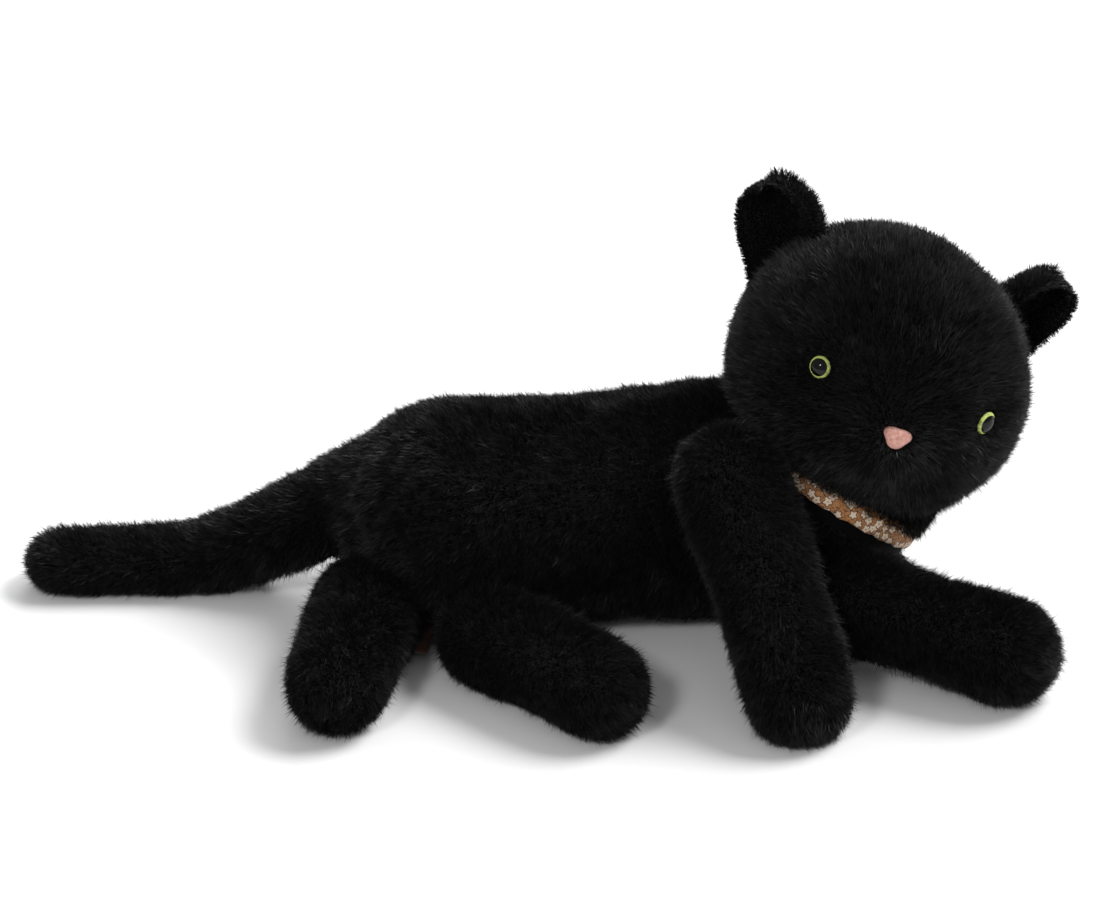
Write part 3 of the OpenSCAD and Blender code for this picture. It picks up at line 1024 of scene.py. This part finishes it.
def build_tail():
    """One tube along the bent tail, cut into pieces in the middle of each straight length."""
    path = smooth_path(TAIL, 12)
    radii = np.interp(np.linspace(0, 3, len(path)), [0, 1, 2, 3], TAIL_R) - SKIN_INSET
    shapes = [ball(place, radius, rows=12) for place, radius in zip(path, radii)]
    whole = fused("tail_whole", shapes, voxel=3.8 * MM)
    stuffed(whole, no_seam)
    put_coordinates(whole.data, above_floor(coordinates(whole.data)))
    cuts = [(TAIL[0] + TAIL[1]) / 2, (TAIL[1] + TAIL[2]) / 2]
    names = ["tail_base", "tail_middle", "tail_tip"]
    directions = [unit(TAIL[i + 1] - TAIL[i]) for i in range(3)]

    def flow(points, normals):
        nearest = np.argmin(np.linalg.norm(points[:, None] - path[None, ::4], axis=2), axis=1)
        steps = np.gradient(path[::4], axis=0)
        return unit(steps[nearest])

    for i, name in enumerate(names):
        skin = whole.copy()
        skin.data = whole.data.copy()
        skin.name = name + "_skin"
        bpy.context.scene.collection.objects.link(skin)
        bm = bmesh.new()
        bm.from_mesh(skin.data)
        for cut, keep_after in ([(cuts[i - 1], True)] if i else []) + (
                [(cuts[i], False)] if i < 2 else []):
            bmesh.ops.bisect_plane(
                bm, geom=[*bm.verts, *bm.edges, *bm.faces], plane_co=cut,
                plane_no=directions[i if not keep_after else i - 1],
                clear_outer=not keep_after, clear_inner=keep_after)
        bm.to_mesh(skin.data)
        bm.free()
        fur = grow(name + "_fur", skin, flow, 61 + i)
        dress(skin)
        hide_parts(name + "_cover", name + "_stuffing")
        for obj in [skin, *fur]:
            if i == 0:
                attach(obj, "tail_base")
            else:
                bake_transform(obj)
    remove(whole)


build_tail()


# ---------------------------------------------------------------- collar and label

FLOWER_SPACING = 4.3 * MM


def calculated(nodes, links, operation, *inputs):
    """The output of a maths node; each input is a number or another node's output."""
    node = nodes.new("ShaderNodeMath")
    node.operation = operation
    for socket, value in zip(node.inputs, inputs):
        if isinstance(value, (int, float)):
            socket.default_value = value
        else:
            links.new(value, socket)
    return node.outputs[0]


def collar_material():
    """Tan cotton printed with small cream five-petalled flowers and curling brown stems."""
    mat, nodes, links, shader = material("collar_print")
    band = nodes.new("ShaderNodeAttribute")
    band.attribute_name = "band"
    flowers = nodes.new("ShaderNodeTexVoronoi")
    flowers.voronoi_dimensions = "2D"
    flowers.inputs["Scale"].default_value = 1 / FLOWER_SPACING
    flowers.inputs["Randomness"].default_value = 0.75
    links.new(band.outputs["Vector"], flowers.inputs["Vector"])
    away = nodes.new("ShaderNodeVectorMath")
    away.operation = "SUBTRACT"
    links.new(band.outputs["Vector"], away.inputs[0])
    links.new(flowers.outputs["Position"], away.inputs[1])
    parts = nodes.new("ShaderNodeSeparateXYZ")
    links.new(away.outputs["Vector"], parts.inputs["Vector"])
    angle = calculated(nodes, links, "ARCTAN2", parts.outputs["Y"], parts.outputs["X"])
    petals = calculated(nodes, links, "COSINE", calculated(nodes, links, "MULTIPLY", angle, 5.0))
    stretch = calculated(nodes, links, "MULTIPLY_ADD", petals, -0.22, 1.0)
    patches = nodes.new("ShaderNodeTexNoise")
    patches.inputs["Scale"].default_value = 190
    links.new(band.outputs["Vector"], patches.inputs["Vector"])
    bare = calculated(nodes, links, "MULTIPLY", patches.outputs["Fac"], 0.32)
    reach = calculated(nodes, links, "MULTIPLY_ADD", flowers.outputs["Distance"], stretch, bare)
    flower = ramp(nodes, [(0.2, (0.5, 0.2, 0.09)), (0.25, (0.82, 0.68, 0.53)),
                          (0.48, (0.76, 0.6, 0.44)), (0.51, (0.07, 0.025, 0.012)),
                          (0.57, (0.07, 0.025, 0.012)), (0.6, (0.47, 0.205, 0.07))])
    links.new(reach, flower.inputs["Fac"])
    wobble = nodes.new("ShaderNodeTexNoise")
    wobble.inputs["Scale"].default_value = 500
    links.new(band.outputs["Vector"], wobble.inputs["Vector"])
    curled = nodes.new("ShaderNodeVectorMath")
    curled.operation = "MULTIPLY_ADD"
    curled.inputs[1].default_value = (0.004, 0.004, 0)
    links.new(wobble.outputs["Color"], curled.inputs[0])
    links.new(band.outputs["Vector"], curled.inputs[2])
    stems = nodes.new("ShaderNodeTexVoronoi")
    stems.voronoi_dimensions = "2D"
    stems.feature = "DISTANCE_TO_EDGE"
    stems.inputs["Scale"].default_value = 420
    links.new(curled.outputs["Vector"], stems.inputs["Vector"])
    lines = ramp(nodes, [(0.03, (0.12, 0.05, 0.02)), (0.08, (0.47, 0.205, 0.07))])
    links.new(stems.outputs["Distance"], lines.inputs["Fac"])
    outside = calculated(nodes, links, "GREATER_THAN", reach, 0.59)
    both = nodes.new("ShaderNodeMixRGB")
    links.new(outside, both.inputs["Fac"])
    links.new(flower.outputs["Color"], both.inputs["Color1"])
    links.new(lines.outputs["Color"], both.inputs["Color2"])
    links.new(both.outputs["Color"], shader.inputs["Base Color"])
    weave = nodes.new("ShaderNodeTexWave")
    weave.inputs["Scale"].default_value = 1300
    links.new(band.outputs["Vector"], weave.inputs["Vector"])
    relief(nodes, links, shader, weave.outputs["Fac"], 0.3, 0.1 * MM)
    shader.inputs["Roughness"].default_value = 0.85
    shader.inputs["Sheen Weight"].default_value = 0.15
    return mat


COLLAR_INNER = 38.6 * MM
COLLAR_OUTER = 41.8 * MM
COLLAR_HALF_WIDTH = 5.0 * MM
COLLAR_LIFT = 3.4 * MM     # how much nearer the head the band is shown than the CAD has it


def build_collar():
    """A folded cotton band with soft edges and shallow puckers."""
    across_x, across_y = frame_from(collar_dir)
    turns, rows = 160, 20
    inner, outer, half = COLLAR_INNER, COLLAR_OUTER, COLLAR_HALF_WIDTH
    middle = collar_at + collar_dir * COLLAR_LIFT
    verts, faces, band = [], [], []
    for i in range(turns):
        a = 2 * math.pi * i / turns
        out = math.cos(a) * across_x + math.sin(a) * across_y
        pucker = 0.25 * MM * math.sin(23 * a) + 0.2 * MM * math.sin(37 * a + 1)
        for k in range(rows):
            b = 2 * math.pi * k / rows
            c, s = math.cos(b), math.sin(b)
            thick = (outer - inner) / 2 * abs(c) ** 0.6 * (1 if c > 0 else -1)
            wide = half * abs(s) ** 0.55 * (1 if s > 0 else -1)
            reach = (inner + outer) / 2 + thick + pucker * max(c, 0)
            verts.append(middle + out * reach + collar_dir * (wide + pucker))
            band.append((a * outer, wide, 0))
    for i in range(turns):
        j = (i + 1) % turns
        for k in range(rows):
            m = (k + 1) % rows
            faces.append((i * rows + k, j * rows + k, j * rows + m, i * rows + m))
    obj = new_object("collar_band", verts, faces)
    print_place = obj.data.attributes.new("band", "FLOAT_VECTOR", "POINT")
    print_place.data.foreach_set("vector", np.ravel(band))
    turned_outward(obj)
    obj.data.materials.append(collar_material())
    shade_smooth(obj)
    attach(obj, "torso")
    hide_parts("collar")


LABEL_SHOWS = 4 * MM       # how much further out the label is shown than the CAD has it
LABEL_WIDTH = 9 * MM
LABEL_LENGTH = 24 * MM


def build_label():
    """A folded woven ribbon sewn in at the rump."""
    low, high = (np.array(corner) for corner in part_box("label_tag"))
    outward = unit([-0.205, -0.963, -0.174])
    across = unit(np.cross(outward, [0, 0, 1.0]))
    lift = np.cross(across, outward)
    width, reach = LABEL_WIDTH, LABEL_LENGTH
    end = np.array([(low[0] + high[0]) / 2, low[1], low[2] + 0.6 * MM])
    end += outward * LABEL_SHOWS
    verts, faces = [], []
    rows, columns = 24, 9
    for i in range(rows):
        a = 2 * math.pi * i / rows
        back = reach * (0.5 - 0.5 * math.cos(a))
        thick = 0.8 * MM * math.sin(a) + 0.8 * MM
        for k in range(columns):
            u = k / (columns - 1) - 0.5
            verts.append(end + across * (u * width) - outward * back
                         + lift * (thick + 0.5 * MM * math.sin(5 * u)))
    for i in range(rows):
        j = (i + 1) % rows
        for k in range(columns - 1):
            faces.append((i * columns + k, i * columns + k + 1, j * columns + k + 1,
                          j * columns + k))
    obj = new_object("label_ribbon", verts, faces)
    mat, nodes, links, shader = material("label_brown")
    patterned(nodes, links, shader, "ShaderNodeTexWave", 1500,
              [(0.0, (0.1, 0.045, 0.03)), (1.0, (0.2, 0.1, 0.07))])
    shader.inputs["Roughness"].default_value = 0.5
    obj.data.materials.append(mat)
    shade_smooth(obj)
    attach(obj, "torso")
    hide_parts("label_tag")


build_collar()
build_label()


# ---------------------------------------------------------------- joint parts inside

def plastic_material():
    mat, nodes, links, shader = material("joint_plastic")
    patterned(nodes, links, shader, "ShaderNodeTexNoise", 300,
              [(0.3, (0.74, 0.73, 0.68)), (0.7, (0.8, 0.79, 0.75))])
    shader.inputs["Roughness"].default_value = 0.45
    return mat


PLASTIC = plastic_material()
for node_name, node in frame["nodes"].items():
    if node_name.endswith(("_disc", "_lock_ring", "_washers")):
        node.data.materials.clear()
        node.data.materials.append(PLASTIC)


# ---------------------------------------------------------------- studio

def area_light(name, place, target, size, power, colour=(1, 1, 1)):
    light = bpy.data.lights.new(name, "AREA")
    light.shape = "RECTANGLE"
    light.size, light.size_y = size
    light.energy = power
    light.color = colour
    obj = bpy.data.objects.new(name, light)
    bpy.context.scene.collection.objects.link(obj)
    obj.location = place
    obj.rotation_euler = (Vector(target) - Vector(place)).to_track_quat("-Z", "Y").to_euler()


def build_studio():
    """A pale floor, an even world, soft light from the view's right and two small lights."""
    size = 6.0
    floor = new_object("floor", [(-size, -size, 0), (size, -size, 0), (size, size, 0),
                                 (-size, size, 0)], [(0, 1, 2, 3)])
    mat, nodes, links, shader = material("pale_floor")
    shader.inputs["Base Color"].default_value = (0.86, 0.86, 0.86, 1)
    shader.inputs["Roughness"].default_value = 0.9
    floor.data.materials.append(mat)
    world = bpy.data.worlds.new("studio")
    world.use_nodes = True
    world.node_tree.nodes["Background"].inputs["Color"].default_value = (1, 1, 1, 1)
    world.node_tree.nodes["Background"].inputs["Strength"].default_value = 0.42
    bpy.context.scene.world = world
    middle = (0, 0, 0.06)
    sun = bpy.data.lights.new("window", "SUN")
    sun.energy = 2.9
    sun.angle = math.radians(30)
    window = bpy.data.objects.new("window", sun)
    bpy.context.scene.collection.objects.link(window)
    window.rotation_euler = Vector((1.0, 0.35, 1.25)).to_track_quat("Z", "Y").to_euler()
    area_light("rim", (0.3, 1.5, 0.9), middle, (1.4, 0.7), 24)
    area_light("glint", (-0.8, -1.5, 1.6), middle, (0.4, 0.4), 13)


def build_camera():
    data = bpy.data.cameras.new("photo_view")
    data.sensor_fit = "HORIZONTAL"
    data.angle = 2 * math.atan(VIEW_WIDTH / 2 / VIEW_DISTANCE)
    data.clip_end = 20
    camera = bpy.data.objects.new("photo_view", data)
    bpy.context.scene.collection.objects.link(camera)
    back = Vector((0, -math.cos(VIEW_ELEVATION), math.sin(VIEW_ELEVATION)))
    camera.location = VIEW_TARGET + back * VIEW_DISTANCE
    camera.rotation_euler = (-back).to_track_quat("-Z", "Y").to_euler()
    bpy.context.scene.camera = camera


build_studio()
build_camera()
bpy.context.scene.view_settings.view_transform = "Standard"
